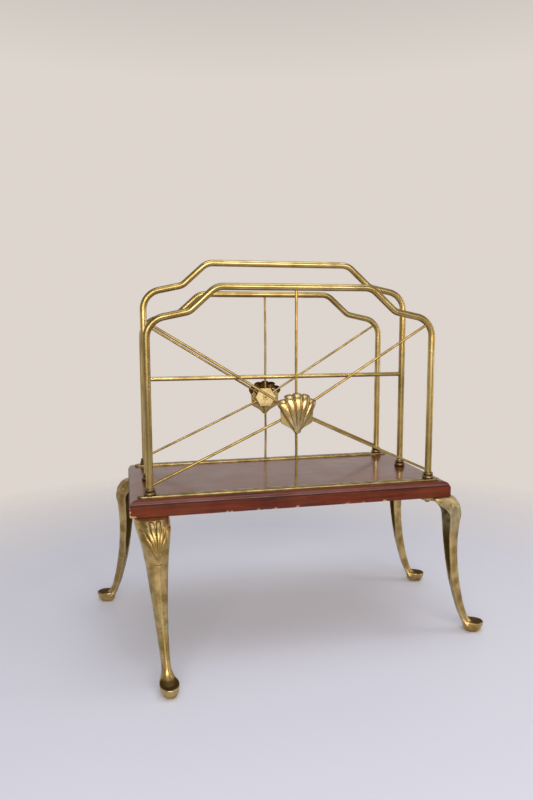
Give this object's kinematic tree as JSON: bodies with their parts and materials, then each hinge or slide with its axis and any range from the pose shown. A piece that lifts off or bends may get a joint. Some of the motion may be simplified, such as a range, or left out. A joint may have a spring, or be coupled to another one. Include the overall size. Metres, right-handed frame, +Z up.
{
  "type": "magazine rack",
  "caption": "Free-standing brass magazine rack: a moulded wooden deck on cabriole legs, with stepped tube hoops that form two bays, braced by wires and scallop hubs.",
  "frame": {"origin": "on the floor, at the centre of the rack's overall footprint, whose ends are the outermost feet", "axes": "+X along the hoops towards the right end, +Y from the front hoop to the rear hoop, +Z up"},
  "size_m": [0.4816, 0.2774, 0.4642],
  "materials": {
    "stained_wood": "red-brown stain under worn gloss lacquer, chipped along the lower edges",
    "cast_brass": "aged cast brass, rubbed bright on the high parts, dark in the hollows",
    "brass_tube": "drawn brass tube under old lacquer, satin, with brown spots",
    "brass_wire": "drawn brass wire, dull gold",
    "bright_brass": "bright pale brass, satin",
    "collar_brass": "turned brass, tarnished dark bronze",
    "strip_brass": "flat brass strip, tarnished olive",
    "dark_fixings": "blackened steel screws and washers"
  },
  "bodies": {
    "root": {"base_board": "stained_wood", "leg_front_left": "cast_brass", "leg_front_right": "cast_brass", "leg_rear_left": "cast_brass", "leg_rear_right": "cast_brass", "leg_bolts": "dark_fixings", "middle_bolts": "dark_fixings", "middle_washers": "dark_fixings", "hoop_plugs": "brass_tube", "front_hoop": "brass_tube", "collar_front_left": "collar_brass", "collar_front_right": "collar_brass", "middle_hoop": "brass_tube", "collar_middle_left": "collar_brass", "collar_middle_right": "collar_brass", "rear_hoop": "brass_tube", "collar_rear_left": "collar_brass", "collar_rear_right": "collar_brass", "middle_cross_rod": "brass_tube", "front_base_strip": "strip_brass", "front_spoke_top": "brass_wire", "front_spoke_bottom": "brass_wire", "front_spoke_upper_left": "brass_wire", "front_spoke_upper_right": "brass_wire", "front_spoke_lower_left": "brass_wire", "front_spoke_lower_right": "brass_wire", "front_shell": "cast_brass", "front_hub_plate": "bright_brass", "front_hub_screw": "dark_fixings", "rear_base_strip": "strip_brass", "rear_spoke_top": "brass_wire", "rear_spoke_bottom": "brass_wire", "rear_spoke_upper_left": "brass_wire", "rear_spoke_upper_right": "brass_wire", "rear_spoke_lower_left": "brass_wire", "rear_spoke_lower_right": "brass_wire", "rear_shell": "cast_brass", "rear_hub_plate": "bright_brass", "rear_hub_screw": "dark_fixings"}
  },
  "joints": []
}
